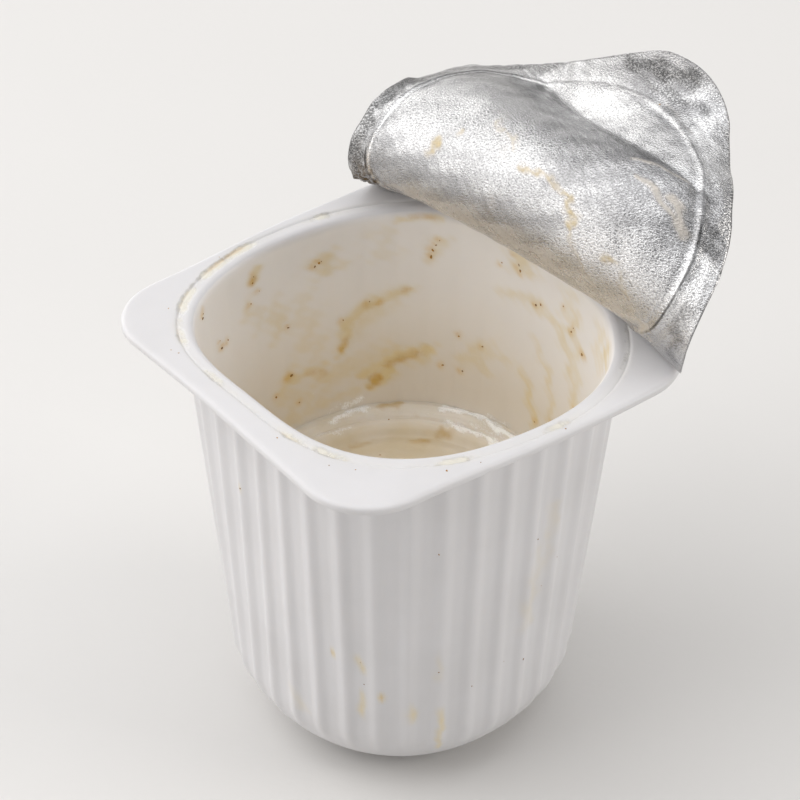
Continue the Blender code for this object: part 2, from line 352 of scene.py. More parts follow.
# The mouth's edge is rolled: a small bead, then a band, a thin groove and a step up to the flange.
# Here and in LIP, UNDERSIDE and FOOT, in mm: inset from the wall or the edge, or radius; drop or height.
MOUTH = (
    (1.12, 1.0), (1.0, 0.66), (0.84, 0.42), (0.62, 0.26), (0.38, 0.16), (0.12, 0.12), (-0.1, 0.14),
    (-0.4, 0.17), (-0.75, 0.17), (-0.95, 0.18), (-1.06, 0.26), (-1.16, 0.26), (-1.28, 0.12), (-1.42, 0.04),
    (-1.6, 0.01), (-1.85, 0.0),
)
rings += [wall_ring(around, RIM_HEIGHT - drop * MM, inset * MM) for inset, drop in MOUTH]
# The groove's bottom is the mouth's twelfth ring.
groove_ring = inside_rings + 11
inner_edge, outer_edge = rings[-1], flange_ring(around, LAND_END, 0)
rings += [inner_edge + (outer_edge - inner_edge) * share for share in np.linspace(0.12, 1, 8)]
# The flange's outer edge turns down into a lip.
LIP = (
    (0.62, 0.02), (0.42, 0.08), (0.24, 0.18), (0.1, 0.32), (0.02, 0.5), (0.0, 0.75), (0.0, 1.05), (0.06, 1.22),
    (0.16, 1.3), (0.5, 1.3), (0.6, 1.24), (0.7, 1.0), (0.78, 0.8), (1.1, 0.75),
)
rings += [flange_ring(around, inset * MM, drop * MM) for inset, drop in LIP]
outside_ring = len(rings)
UNDERSIDE = ((-0.7, 0.0), (-0.3, 0.2), (-0.1, 0.5))
rings += [wall_ring(around, RIM_HEIGHT - SHEET - drop * MM, inset * MM) for inset, drop in UNDERSIDE]
outer_heights = np.concatenate([np.linspace(FLUTE_TOP[0], FLUTE_TOP[1], 6), np.linspace(64 * MM, 16 * MM, 26)])
rings += [wall_ring(around, height, 0, FLUTE_HEIGHT) for height in outer_heights]
rings += [heel_ring(around, sweep, 0, FLUTE_HEIGHT) for sweep in heel_sweeps(16, 0.25 * MM)]
FOOT = (
    (16.4, 0.08), (15.6, 0.0), (GROOVE_OUTER + 0.4, 0.0), (GROOVE_OUTER, 0.5), (GROOVE_INNER, 0.5),
    (GROOVE_INNER - 0.4, 0.0),
)
rings += [level_ring(around, radius * MM, height * MM) for radius, height in FOOT]
skin = np.stack(rings)


def line_distance(x, y, line):
    """Distance of points from a broken line: the least of the distances from its straight parts."""
    nearest = np.full_like(x, 1e3)
    for (ax, ay), (bx, by) in zip(line, line[1:] or line):
        dx, dy = bx - ax, by - ay
        share = np.clip(((x - ax) * dx + (y - ay) * dy) / max(dx * dx + dy * dy, 1e-9), 0, 1)
        nearest = np.minimum(nearest, np.hypot(x - ax - share * dx, y - ay - share * dy))
    return nearest


def wiped(x, y, marks, stretch=1.0, turn=1e6):
    """How strongly wiped marks show: for each, its strength times exp(-(distance from its line / half
    width) squared), the places being shifted by about half of that width so that the outline is
    uneven. stretch turns x into millimetres, and turn is the x after which it repeats."""
    shown = np.zeros_like(x)
    for strength, half_width, *line in marks:
        start = line[0][0]
        near = ((x - start + turn / 2) % turn - turn / 2) * stretch
        uneven = half_width * (0.35 * np.sin(1.1 * y + 0.7 * near + start) + 0.2 * np.sin(2.7 * y - 2.1 * near))
        distance = line_distance(near + uneven, y - uneven, [((px - start) * stretch, py) for px, py in line])
        shown = np.maximum(shown, strength * bell(distance, half_width))
    return shown


# Strength, half width in mm, then the line's points as direction in degrees and height in mm.
INNER_YELLOW = (
    (0.85, 1.3, (163, 46), (160, 51), (154, 53.3), (148, 54), (141, 55.5)),
    (0.45, 2.6, (160, 48), (156, 51), (146, 54)), (0.55, 2.2, (171, 63.2), (167, 62.6), (163, 62)),
    (0.65, 1, (194.2, 64.6), (192, 66.8)), (0.4, 1.8, (196, 61), (193, 57)), (0.45, 2.2, (186, 58), (187, 54)),
    (0.65, 1.8, (183, 44.4), (176, 43.6), (168, 41.8)), (0.95, 1.6, (152, 38.7), (147, 40)),
    (0.9, 1.8, (154, 40.6), (145, 42.8), (136, 43.6)), (0.5, 2, (170, 41), (158, 42.6), (146, 44.4)),
    (0.45, 2.2, (185, 43), (182, 36)), (0.35, 2.4, (176, 50), (172, 47)), (0.55, 2.2, (104, 66.4), (97, 66)),
    (0.5, 1.5, (108, 59), (97, 60.4), (88, 60.2), (80, 58), (74, 53), (71, 47)),
    (0.5, 1.6, (77, 64), (73, 56), (70, 46), (70, 40)), (0.45, 1.1, (94, 54), (87, 50), (84, 46.5), (83, 41)),
    (0.65, 1.2, (98, 46.5), (95, 43.5), (91, 38.5)), (0.45, 1.8, (119, 46), (112, 47.5), (106, 46.5)),
    (0.45, 1.6, (124, 43), (117, 44.4), (112, 43)), (0.6, 0.8, (143, 68.4), (131, 68.6)),
    (0.4, 2, (62, 66), (60, 60)), (0.35, 2.8, (177, 57), (174, 49)), (0.3, 2.4, (150, 66), (146, 62)),
    (0.45, 1.6, (133, 62), (131, 64.5)), (0.35, 2.4, (80, 66), (78, 62)), (0.4, 1.8, (179, 40), (175, 37)),
    (0.4, 1.8, (172, 37.5), (160, 36.5)),
)
INNER_BROWN = (
    (0.6, 0.7, (194.6, 64.6), (193.9, 65.4)), (0.5, 0.9, (163, 46), (162, 47.2)),
    (0.8, 1.1, (152.5, 38.6), (151, 38.9)), (0.55, 1.1, (147, 41.6), (138, 43.4)), (0.45, 0.9, (138.5, 43.2)),
    (0.3, 0.9, (154, 53.3), (149, 53.5)), (0.45, 0.7, (141.5, 55.4), (143, 55)),
    (0.35, 0.9, (176, 43.9), (170, 42.6)), (0.35, 0.9, (170, 42)), (0.25, 0.8, (94, 60.6)),
    (0.3, 0.8, (91, 38.8)), (0.5, 0.6, (140, 68.6), (132, 68.9)),
)
OUTER_YELLOW = (
    (0.45, 0.7, (-94.7, 52.3)), (0.35, 0.8, (-51.8, 38.3)), (0.7, 0.5, (-58.9, 29.7)),
    (0.55, 0.8, (-50, 29.2), (-49, 27)), (0.6, 0.7, (-49.6, 21.6), (-49.8, 17)), (0.95, 0.8, (-43.4, 21.6)),
    (0.75, 1, (-34.2, 18.9), (-33.6, 16.8)), (0.6, 0.7, (-24, 17.5), (-24.7, 9)),
    (0.3, 0.8, (-25.4, 30.5), (-25.4, 25)), (0.28, 1.6, (10, 44), (6, 30)), (0.3, 1.2, (-76, 18), (-72, 14)),
    (0.28, 1.2, (14, 52), (12, 40)),
)
OUTER_BROWN = (
    (0.5, 0.35, (-58.9, 29.7)), (0.35, 0.4, (-50, 28.6)), (0.55, 0.5, (-43.2, 21.5)), (0.25, 0.5, (-34, 17.6)),
)
# A faint crease in the outer wall, from a squeeze: strength, half width in mm, and its line's points.
WALL_CREASE = ((1.0, 0.45, (8.9, 61.3), (8.4, 46.5)),)
CREASE_DEPTH = 0.14 * MM
SMEAR_THICK = 0.1 * MM
# Dried yogurt in the groove by the mouth: strength, then middle and half length in degrees.
GROOVE_RESIDUE = (
    (0.8, -161, 9), (0.45, -142, 6), (0.45, -126, 6), (0.5, -68, 6), (0.35, -54, 5),
    (0.25, -22, 7), (0.25, 12, 6), (0.15, 40, 5), (0.2, -98, 8), (0.25, 165, 8),
)
# Its half width, and the pale crust's distance inward from it and half width, in mm.
GROOVE_WIDTH, CRUST_INWARD, CRUST_WIDTH = 0.55, 0.3, 0.9
# How strong the crust is where there is no residue, and how much the residue adds.
CRUST_LEAST, CRUST_GAIN = 0.35, 1.6
# The film of yogurt on the inner wall, painted paler than the plastic as painted light through the thin wall,
# in mm:
# its start below the rim and how wide that start is, and the height below which it gets creamier and darker and
# over how much.
FILM_START, FILM_FADE, CREAM_START, CREAM_FADE = 0.6, 1.5, 61, 25
# Wet places, where glints are painted, written as the lists of smears above.
WALL_GLINTS = (
    (0.8, 0.8, (163, 34.8), (156, 35.8)), (0.6, 0.7, (170, 34.2), (165, 35.4)),
    (0.7, 0.6, (112, 34.9), (103, 34.6)), (0.5, 0.5, (176, 38.5), (172, 40.2)),
    (0.35, 0.5, (167, 41.5), (158, 43.2)), (0.35, 0.7, (180, 36.5), (174, 35)),
)
# Direction in degrees, and height and size in mm, of each fruit speck on the inner wall.
INNER_SPECKS = (
    (-140.7, 66.8, 0.4), (-141.6, 67.4, 0.2), (-149.2, 57.6, 0.36), (-148.7, 59.1, 0.2), (-152.6, 57.9, 0.26),
    (-165, 64.9, 0.34), (-165.6, 66, 0.2), (-163.7, 61.3, 0.24), (-167.2, 62.8, 0.18), (170.7, 63.4, 0.5),
    (172.2, 63, 0.3), (169.9, 63.6, 0.22), (-176.8, 53.7, 0.24), (-176.9, 44.6, 0.5), (-170.2, 41.9, 0.3),
    (-179.3, 38.8, 0.28), (162.9, 51.4, 0.22), (153.8, 53.8, 0.2), (150.2, 53.3, 0.3), (134.4, 61.6, 0.38),
    (133.9, 62.9, 0.3), (132.9, 63.9, 0.22), (131.8, 64.8, 0.18), (110, 64, 0.24), (102.2, 64.2, 0.4),
    (103, 65, 0.26), (105.5, 66.9, 0.24), (94.4, 60.3, 0.34), (92.2, 60.9, 0.28), (81.8, 63.4, 0.2),
    (77, 60.3, 0.3), (76.2, 61.2, 0.2), (70.3, 58.2, 0.52), (124.5, 47.8, 0.3), (115.8, 47.3, 0.22),
    (129.7, 41.7, 0.28), (122.7, 41.4, 0.32), (71.2, 47.8, 0.26), (83.2, 41.1, 0.22), (152, 38.6, 0.32),
    (91, 38.8, 0.34), (163.2, 46.1, 0.3),
)

# On the rest of the wall the same kinds of mark are scattered at random.
dice = np.random.default_rng(5)
INNER_YELLOW += tuple(
    (dice.uniform(0.25, 0.7), dice.uniform(1.0, 2.2), (turn, level), (turn + dice.uniform(2, 12), level + rise))
    for turn, level, rise in zip(dice.uniform(-115, 45, 16), dice.uniform(38, 66, 16), dice.uniform(-4, 4, 16))
)
OUTER_YELLOW += tuple(
    (dice.uniform(0.2, 0.6), dice.uniform(0.5, 1.1), (turn, level), (turn, level - drop))
    for turn, level, drop in zip(dice.uniform(40, 240, 9), dice.uniform(8, 60, 9), dice.uniform(0.5, 5, 9))
)
turn_deg = np.degrees(np.arctan2(skin[..., 1], skin[..., 0]))
height_mm = skin[..., 2] / MM
row = np.arange(len(skin))[:, None] + 0 * turn_deg
# The inside goes on over the first two rings of the mouth.
on_inside = row < inside_rings + 2
on_outside = row >= outside_ring
on_flange = ~(on_inside | on_outside)
# Around each speck on the inner wall is a halo: stronger and wider for a large one.
HALOS = tuple((1.3 * size**0.5, 0.3 + size, (turn, level)) for turn, level, size in INNER_SPECKS)
# A degree is this many mm long on the inner and the outer wall.
INNER_DEGREE, OUTER_DEGREE = math.radians(26.5), math.radians(27.0)


def on_inner_wall(marks):
    """How strongly marks show on the pot's inner wall."""
    return wiped(turn_deg, height_mm, marks, INNER_DEGREE, 360.0) * on_inside


def on_outer_wall(marks):
    """How strongly marks show on the pot's outer wall."""
    return wiped(turn_deg, height_mm, marks, OUTER_DEGREE, 360.0) * on_outside


yellow = on_inner_wall(INNER_YELLOW) + on_outer_wall(OUTER_YELLOW)
brown = on_inner_wall(INNER_BROWN) + on_outer_wall(OUTER_BROWN)
from_groove = np.linalg.norm(skin[..., :2], axis=2) - np.linalg.norm(skin[groove_ring, :, :2], axis=1)
along_groove = sum(
    strength * np.exp(-((((turn_deg - middle + 180) % 360 - 180) / half) ** 4))
    for strength, middle, half in GROOVE_RESIDUE
)
groove = bell(from_groove / MM, GROOVE_WIDTH) * along_groove * on_flange
crust = bell(from_groove / MM, CRUST_WIDTH, -CRUST_INWARD) * on_flange
crust *= np.clip(CRUST_LEAST + along_groove * CRUST_GAIN, 0, 1)

# The thick smears stand a little proud of the wall, above what the yogurt hides, and the crease is a dent.
ring_step, turn_step = np.gradient(skin, axis=0), np.roll(skin, -1, axis=1) - np.roll(skin, 1, axis=1)
outward = np.cross(turn_step, ring_step)
outward /= np.linalg.norm(outward, axis=-1, keepdims=True)
outward *= np.sign(outward[inside_rings + 20, 0, 2])
thick = SMEAR_THICK * (yellow**2 + brown) * ~on_flange * (row > 8) - CREASE_DEPTH * on_outer_wall(WALL_CREASE)
pot = surface("pot_shell", skin + outward * thick[..., None], closed=True)
paint(
    pot, yellow=yellow, brown=brown, halo=on_inner_wall(HALOS), groove=groove, crust=crust,
    wet=on_inner_wall(WALL_GLINTS),
    depth=on_inside * ease((CREAM_START - height_mm) / CREAM_FADE),
    inside=on_inside * np.clip((RIM_HEIGHT / MM - FILM_START - height_mm) / FILM_FADE, 0, 1),
)

# Painted glints: a whiter colour and a faint glow stand in for highlights on wet yogurt.
GLINT_GLOW = 0.12
BLACK = (0.0, 0.0, 0.0)


def glints(place, wet):
    """Painted glints, small bright dabs: 1 where a fine noise times how wet the place is passes a threshold."""
    return (wet * place.noise(3800.0, 2.0, 0.6, 0.8) * 2.4).step(0.55, 1.05)


shader, wire = start_material(
    pot, "polystyrene", Emission_Strength=GLINT_GLOW, Specular_IOR_Level=0.45, Subsurface_Weight=0.12,
    Subsurface_Radius=(0.9, 0.8, 0.7), Subsurface_Scale=0.0016,
)
# Noises at four scales, how strongly each kind of mark covers the plastic, and its colours.
place = wire.node("TexCoord", output="Object")
cloud = place.noise(70.0, 3.0)
blots = place.noise(210.0).step(0.3, 0.7)
edges = place.noise(620.0, 4.0, 0.62)
grains = place.noise(1700.0, 3.0, 0.6)
yellow_mask = (wire.layer("yellow") * (0.5 + 0.35 * blots + 0.65 * edges)).step(0.0, 1.0)
brown_mask = (wire.layer("brown") * (0.35 + 1.25 * edges)).step(0.05, 1.0)
crust = wire.layer("crust")
crust_mask = (crust * (0.35 + 0.8 * blots) * edges * 1.8).step(0.25, 0.7)
line_mask = (wire.layer("groove") * (0.2 + 1.5 * edges)).step(0.25, 0.75)
wet = wire.layer("wet")
glint = glints(place, wet)
film = wire.layer("inside") * (0.8 + 0.3 * cloud)
white = cloud.step(0.35, 0.7).mix(POT_WHITE, POT_SHADE)
# The inner coat: painted paler than the plastic, as painted light through the thin wall, and creamier and
# darker lower down.
coat = (wire.layer("depth") * (0.6 + 0.8 * cloud)).mix(FILM_WHITE, FILM_CREAM)
creamy = film.mix(white, coat)
yellowed = (yellow_mask * 0.62).mix(creamy, SMEAR_YELLOW)
crusted = (crust_mask * 0.27 + crust * 0.14).mix(yellowed, CRUST_CREAM)
browned = (brown_mask * 0.72 + line_mask * 0.24).mix(crusted, SMEAR_BROWN)
haloed = (wire.layer("halo") * (0.35 + 0.6 * edges)).mix(browned, HALO_RUST)
relief = (grains * 0.4 + cloud).bump(0.12, 0.4 * MM)
connect(
    shader,
    # Painted glint and sheen where the yogurt film is wet: a whiter colour and a faint glow.
    Base_Color=(glint * 0.7 + wet * 0.15).mix(haloed, GLINT_WHITE),
    Roughness=0.36 + 0.1 * cloud - 0.24 * glint + 0.08 * yellow_mask,
    Normal=((yellow_mask + brown_mask) * edges + crust_mask * 1.6 + glint).bump(0.5, 0.4 * MM, Normal=relief),
    Emission_Color=glint.mix(BLACK, GLINT_WHITE),
)
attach(pot, "root")
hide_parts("pot")


# ---- Yogurt: what the spoon left in the foot of the pot, cream-coloured and wet, with a rounded
# ---- ledge along the wall around a scraped hollow.
YOGURT_LEVEL = 34.0 * MM
HOLLOW_LEVEL = 31.8 * MM
GAP = 0.3 * MM
# The ledge clings to the wall: its edge is this far inside the plastic, so that no gap shows.
CLING = 0.12 * MM
# The direction of the back, in radians. The rest is in mm.
BACK = 2.35
# The fine line by the wall: its height, how much less that is at the back, its width.
EDGE_LINE, EDGE_LESS, EDGE_WIDTH = 0.16, 0.1, 0.35
# Two ridges: height, half width, and place, the first from the wall and the second from the middle.
WALL_RIDGE = (0.2, 0.6, 0.9)
SPOON_RIDGE = (0.22, 0.5, 23.0)
# The ledge's dip: depth, start from the wall, width. The step: start from the middle, width.
DIP, DIP_START, DIP_FADE = 0.7, 1.3, 1.6
STEP_START, STEP_FADE = 20.9, 1.8
YOGURT_CREAM = (0.8, 0.74, 0.65)
YOGURT_DEEP = (0.71, 0.61, 0.44)
YOGURT_BROWN = (0.56, 0.37, 0.12)

ledge_inset = wall_at(YOGURT_LEVEL) - CLING
edge_radius = np.linalg.norm(wall_ring(around, YOGURT_LEVEL, ledge_inset)[:, :2], axis=1)


def scraped_top(share):
    """The yogurt's top: share is 0 at the wall and 1 in the middle, and the radius shrinks evenly.
    The height is a fine line by the wall, two rounded ridges left by the spoon, a soft step down and
    a hollow with spoon rings. Sines of the direction make the ridges and the step wander."""
    radius = edge_radius[None, :] * (1 - share[:, None])
    mm = radius / MM
    from_wall = (edge_radius[None, :] - radius) / MM
    wander = 0.4 * np.sin(3 * around + 1.0) + 0.2 * np.sin(7 * around)
    ledge = (EDGE_LINE - EDGE_LESS * ease((np.cos(around - BACK) - 0.93) / 0.05)) * bell(from_wall, EDGE_WIDTH)
    ledge = ledge + WALL_RIDGE[0] * bell(from_wall, *WALL_RIDGE[1:])
    ledge += SPOON_RIDGE[0] * bell(mm - 0.4 * wander, *SPOON_RIDGE[1:])
    ledge += 0.03 * np.sin(mm * 9 + 2 * wander) - DIP * ease((from_wall - DIP_START) / DIP_FADE)
    hollow = 0.1 * np.sin(mm * 2.1 + np.sin(2 * around)) + 0.08 * np.cos(5 * around + mm / 3)
    step = ease((mm + 0.35 * wander - STEP_START) / STEP_FADE)
    low, high = HOLLOW_LEVEL + hollow * MM, YOGURT_LEVEL + ledge * MM
    return level_ring(around + 0 * mm, radius, low + (high - low) * step)


body = [level_ring(around, GROOVE_OUTER * MM, FLOOR_HEIGHT + GAP)]
body += [heel_ring(around, sweep, HEEL_WALL + GAP) for sweep in reversed(heel_sweeps(5, 0.6 * MM))]
body += [wall_ring(around, YOGURT_LEVEL - 9 * MM, wall_at(YOGURT_LEVEL) + GAP)]
body += [wall_ring(around, YOGURT_LEVEL - depth * MM, ledge_inset) for depth in (3, 0.9)]
top_share = np.concatenate([np.linspace(0.0, 0.26, 64), np.linspace(0.28, 0.98, 40)])
yogurt_points = np.concatenate([np.stack(body), scraped_top(top_share)])
yogurt = surface("yogurt_left", yogurt_points, closed=True)
turn_deg = np.degrees(np.arctan2(yogurt_points[..., 1], yogurt_points[..., 0]))
radius_mm = np.linalg.norm(yogurt_points[..., :2], axis=2) / MM
# Strength, half width in mm, then the line's points as direction in degrees and distance from the middle.
LEDGE_BROWN = (
    (0.7, 0.9, (150, 25.6), (145, 25.8)), (0.35, 1, (138.2, 23.8)), (0.7, 1, (125.5, 22), (122.5, 22)),
    (0.65, 1, (138, 19.4), (132, 19.8)), (0.5, 1.1, (165, 20.4), (158, 20.2)),
    (0.35, 1.2, (118, 15), (135, 14)), (0.4, 1.2, (40, 14), (70, 12)), (0.5, 1, (-60, 17), (-85, 19)),
)
# Wet places on the yogurt, where glints are painted, written as the lists above.
YOGURT_GLINTS = (
    (1.0, 0.9, (128, 26.2), (122, 26.2), (115.4, 25.9), (107.8, 25.4), (99.6, 24.9), (88, 24.9)),
    (0.9, 0.9, (126.2, 23.5), (118.4, 23.2), (112, 22.9), (102.8, 22.7), (90, 22.6)),
    (0.6, 0.5, (118, 24.6), (108, 24.2), (96, 23.8)),
    (0.8, 0.8, (170.4, 24.3), (164.5, 24.9), (159.5, 25.6), (154.7, 25.8)),
    (0.65, 0.7, (177.6, 23), (171.1, 22.8), (163, 22.9)), (0.45, 0.6, (151, 24.6), (140, 24.7), (130, 24.6)),
    (0.7, 0.7, (0, 25), (-40, 25.5), (-70, 25)),
)
# A degree's length in mm is taken at the middle radius of the marks and of the glints.
paint(
    yogurt,
    brown=wiped(turn_deg, radius_mm, LEDGE_BROWN, math.radians(21.0), 360.0),
    wet=wiped(turn_deg, radius_mm, YOGURT_GLINTS, math.radians(24.0), 360.0),
    ledge=ease((radius_mm - 21.5) / 1.5),
)
shader, wire = start_material(
    yogurt, "yogurt", Emission_Strength=GLINT_GLOW, Specular_IOR_Level=0.5, Subsurface_Weight=0.25,
    Subsurface_Radius=(1.0, 0.8, 0.55), Subsurface_Scale=0.002,
)
place = wire.node("TexCoord", output="Object")
cloud = place.noise(140.0, 3.0)
edges = place.noise(520.0, 4.0, 0.62)
ring_values = {"Vector": place, "Scale": 150.0, "Distortion": 6.0, "Detail": 3.0, "Detail Scale": 1.2}
ring_lines = wire.node("TexWave", ring_values, wave_type="RINGS", rings_direction="Z")
wet = wire.layer("wet")
glint = glints(place, wet)
brown_mask = (wire.layer("brown") * (0.35 + 1.3 * edges)).step(0.12, 0.8)
cream = (cloud.step(0.35, 0.68) * 0.5 + (1.0 - wire.layer("ledge")) * 0.5).mix(YOGURT_CREAM, YOGURT_DEEP)
browned = (brown_mask * 0.7).mix(cream, YOGURT_BROWN)
connect(
    shader,
    # Painted glint and sheen on the wet yogurt: a whiter colour and a faint glow.
    Base_Color=(glint * 0.65 + wet * 0.25).mix(browned, GLINT_WHITE),
    Roughness=0.44 - 0.3 * glint,
    Emission_Color=glint.mix(BLACK, GLINT_WHITE),
    Normal=(ring_lines * 0.3 + edges * 0.6 + glint * 0.8).bump(0.5, 0.4 * MM),
)
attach(yogurt, "root")
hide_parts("yogurt")


# ---- Lid: thin embossed aluminium foil of the flange's outline, still bonded along the back of
# ---- the flange. In front of the crease it is peeled up and curled over, with its inner side showing.
FOIL = 0.12 * MM
CREASE_BACK, CREASE_BACK_X, CREASE_BOW = 27.6 * MM, 14.0 * MM, 3.6
PEEL_LENGTH = 57.0 * MM
PEEL_SETTLE = 8.0 * MM
PEEL_SLOPES = (
    (5, 70, 150, 195, 205, 215, 255),
    (30, 40, 110, 160, 205, 215, 175),
    (35, 20, 60, 130, 220, 225, 100),
    (35, 100, 150, 135, 190, 150, 80),
)
PEEL_LEANS = (
    (20, -5, -25, -45),
    (-10, 5, -20, -50),
    (40, -5, -40, -40),
    (40, -20, -55, -35),
)
FOIL_BRIGHT = (0.66, 0.66, 0.665)
# Painted shade in the emboss pits: the foil's colour where the emboss is low.
FOIL_DULL = (0.34, 0.34, 0.345)
FOIL_CREAM = (0.66, 0.6, 0.52)
FOIL_YELLOW = (0.56, 0.43, 0.19)
# Colours of painted shade and of painted reflection: foil painted darker, and foil painted as if it mirrors a
# light.
FOIL_SHADED = (0.25, 0.25, 0.255)
FOIL_MIRROR = (0.97, 0.97, 0.97)
# Painted shade on the crinkled margin: its pits painted darker, its bumps less dark.
MARGIN_PIT = (0.08, 0.08, 0.08)
MARGIN_BUMP = (0.38, 0.38, 0.38)
# Painted shade in the imprint's crease, a painted highlight on its crest, and dark brown in the crumpled corner
# that is tucked under.
CREASE_BLACK = (0.06, 0.06, 0.06)
CREST_WHITE = (0.98, 0.98, 0.98)
TUCK_BROWN = (0.13, 0.085, 0.035)
# Columns and rows of points on the sheet, and points on each of its round corners.
SHEET_COLUMNS, SHEET_ROWS, CORNER_POINTS = 190, 226, 25
# The mouth's imprint is a squircle. Its ridges, in mm: size (plus is away from the inner side), width,
# and place outside it.
IMPRINT_HALF, IMPRINT_POWER = 28.4, 2.75
IMPRINT_RIDGES = ((-0.24, 0.45, 0.0), (0.16, 0.6, -1.0))
MARGIN_FADE = 1.2
FREE_FADE = 4.0 * MM
DENT_SIZES = (0.06, 0.05, 0.04, 0.03, 0.02)
DENT_LENGTHS = (21.0, 13.0, 8.5, 6.0, 4.3)


def across_sheet(rows, across, share):
    """Each row of station values, in degrees, is read along the sheet by straight lines, and the rows
    are blended over the sheet's width, left to right, as a Bezier curve blends its points."""
    side = (across / FLANGE_HALF + 1)[..., None] / 2
    last = len(rows) - 1
    return sum(
        math.comb(last, place) * side**place * (1 - side) ** (last - place)
        * np.interp(share, np.linspace(0, 1, len(row)), np.radians(row))
        for place, row in enumerate(rows)
    )


def crease(across):
    """Where the lid leaves the flange, as a Y for each X: a shallow bow from its farthest point."""
    return CREASE_BACK - CREASE_BOW * (across - CREASE_BACK_X) ** 2


def peel(across, along):
    """The flat sheet's points in space. Behind the crease it lies on the flange. Before it each line
    of the sheet is a chain of arcs: its slope turns evenly between stations and the steps add up. The
    rim's up and down fades out over the first part of it."""
    steps = 72
    start = crease(across)
    free = np.clip(start - along, 0, None)
    share = free[..., None] * (np.arange(steps) + 0.5) / steps / PEEL_LENGTH
    slope = across_sheet(PEEL_SLOPES, across, share)
    lean = across_sheet(PEEL_LEANS, across, share)
    stride = free / steps
    x = across + np.sin(lean).sum(axis=-1) * stride
    y = np.maximum(along, start) - (np.cos(slope) * np.cos(lean)).sum(axis=-1) * stride
    y = np.where(along > start, along, y)
    held = ease(1 - free / PEEL_SETTLE)
    seat = RIM_HEIGHT + GAP + held * waves(np.arctan2(np.maximum(along, start), across), RIM_WAVES)
    z = seat + (np.sin(slope) * np.cos(lean)).sum(axis=-1) * stride
    return np.stack([x, y, z], axis=-1)


# The flat sheet: across and along are each point's place on it, with rows closer at the corners.
centre = FLANGE_HALF - FLANGE_CORNER
ends = centre + FLANGE_CORNER * np.sin(np.linspace(0, math.pi / 2, CORNER_POINTS))
straight = np.linspace(-centre, centre, SHEET_ROWS - 2 * (CORNER_POINTS - 1))
along = np.concatenate([-ends[:0:-1], straight, ends[1:]])
over = np.clip(np.abs(along) - centre, 0, None)
half = centre + np.sqrt(np.maximum(FLANGE_CORNER**2 - over**2, 0))
across = half[:, None] * np.linspace(-1, 1, SHEET_COLUMNS)
along = np.repeat(along[:, None], SHEET_COLUMNS, axis=1)
sheet = peel(across, along)
normal = np.cross(np.gradient(sheet, axis=1), np.gradient(sheet, axis=0))
normal /= np.maximum(np.linalg.norm(normal, axis=-1, keepdims=True), 1e-12)
normal *= np.sign(normal[-1, SHEET_COLUMNS // 2, 2])

# The mouth's edge is pressed into the foil, and sharp folds and soft dents cross it.
# Size in mm (plus is away from the inner side), width in mm, then the fold's points. The first two are
# long, and fade out beyond the imprint.
FOLDS = (
    (0.8, 2.6, (-12, -31), (-7, -27.8), (1, -24), (8.4, -19.2), (15.2, -15), (20, -11.3), (23.3, -8.5),
     (27.5, -5.4)),
    (-0.3, 3.4, (-24, -11), (-9.5, -12.8), (0.4, -17.2), (9.7, -15.4), (18, -9.5)),
    (0.45, 1.2, (27.5, 2.6), (29.5, 3.4), (32, 4.5)), (-0.25, 1, (28.5, -2), (32, 1)),
    (0.25, 1.4, (24.5, -24.5), (32, -30)), (-0.25, 1.6, (19, -27.5), (23, -32)),
    (0.2, 1.4, (29.5, -19), (33, -20.5)), (-0.18, 1, (10, -29), (12, -32)),
    (0.12, 1.2, (20.3, -27.2), (24.2, -28.2)), (-0.12, 0.8, (10.1, -30.6), (14.5, -31.2), (18.3, -31.2)),
    (-0.22, 0.8, (-28, 10.5), (-32, 13)), (-0.12, 0.6, (18, -7), (23, -8)),
    (-0.1, 0.5, (-4, 6), (-2.5, 8), (0, 10.5)), (-0.14, 0.6, (12.3, 6.8), (14.2, 10.8), (16.5, 14.6)),
    (0.1, 0.7, (15, 1), (19, 6), (20, 11)), (-1.0, 3.6, (-32, -1), (-32, -9)),
)
across_mm, along_mm = across / MM, along / MM
sheet_angle = np.arctan2(along, across)
imprint = np.hypot(across_mm, along_mm) - squircle(sheet_angle, IMPRINT_HALF, IMPRINT_POWER)
folds = [size * np.exp(-line_distance(across_mm, along_mm, line) / width) for size, width, *line in FOLDS]
folds = sum(folds[:2]) * (1 - 0.9 * ease(imprint / 2.5)) + sum(folds[2:])
free = ease((crease(across) - along) / FREE_FADE)
ridges = sum(size * bell(imprint, width, place) for size, width, place in IMPRINT_RIDGES)
# Soft dents are waves in five random directions, each with its size and its length in mm.
dice = np.random.default_rng(11)
dents = sum(
    size * np.sin((across_mm * math.cos(turn) + along_mm * math.sin(turn)) * 2 * math.pi / length + start)
    for size, length, turn, start in zip(
        DENT_SIZES, DENT_LENGTHS, dice.uniform(0, math.pi, 5), dice.uniform(0, 2 * math.pi, 5)
    )
)
# Pleats cross the margin outside the imprint, and the corner that is tucked under is crumpled.
margin = ease(imprint / MARGIN_FADE)
pleats = 0.05 * np.sin(sheet_angle * 21 + 3 * np.sin(sheet_angle * 4)) + 0.03 * np.sin(sheet_angle * 47 + 1.7)
pleats += 0.03 * np.sin(imprint * 3.4 + 3 * np.sin(sheet_angle * 5) + 2.5 * np.sin(sheet_angle * 13))
tuck = bell(line_distance(across_mm, along_mm, ((-31, 16), (-29, 12))), 3.0)
crumple = 0.25 * np.sin(across_mm * 2.9 + 1.3 * np.sin(along_mm * 1.7)) * np.sin(along_mm * 2.3 + 0.4)
lift = (ridges + dents + folds + margin * pleats + tuck * crumple) * free * MM
sheet = sheet + normal * lift[..., None]
lid = surface("foil_sheet", sheet)
place_on_sheet = lid.data.attributes.new("sheet", "FLOAT_VECTOR", "POINT")
flat = np.stack([across, along, np.zeros_like(across)], axis=-1).astype(np.float32)
place_on_sheet.data.foreach_set("vector", flat.ravel())
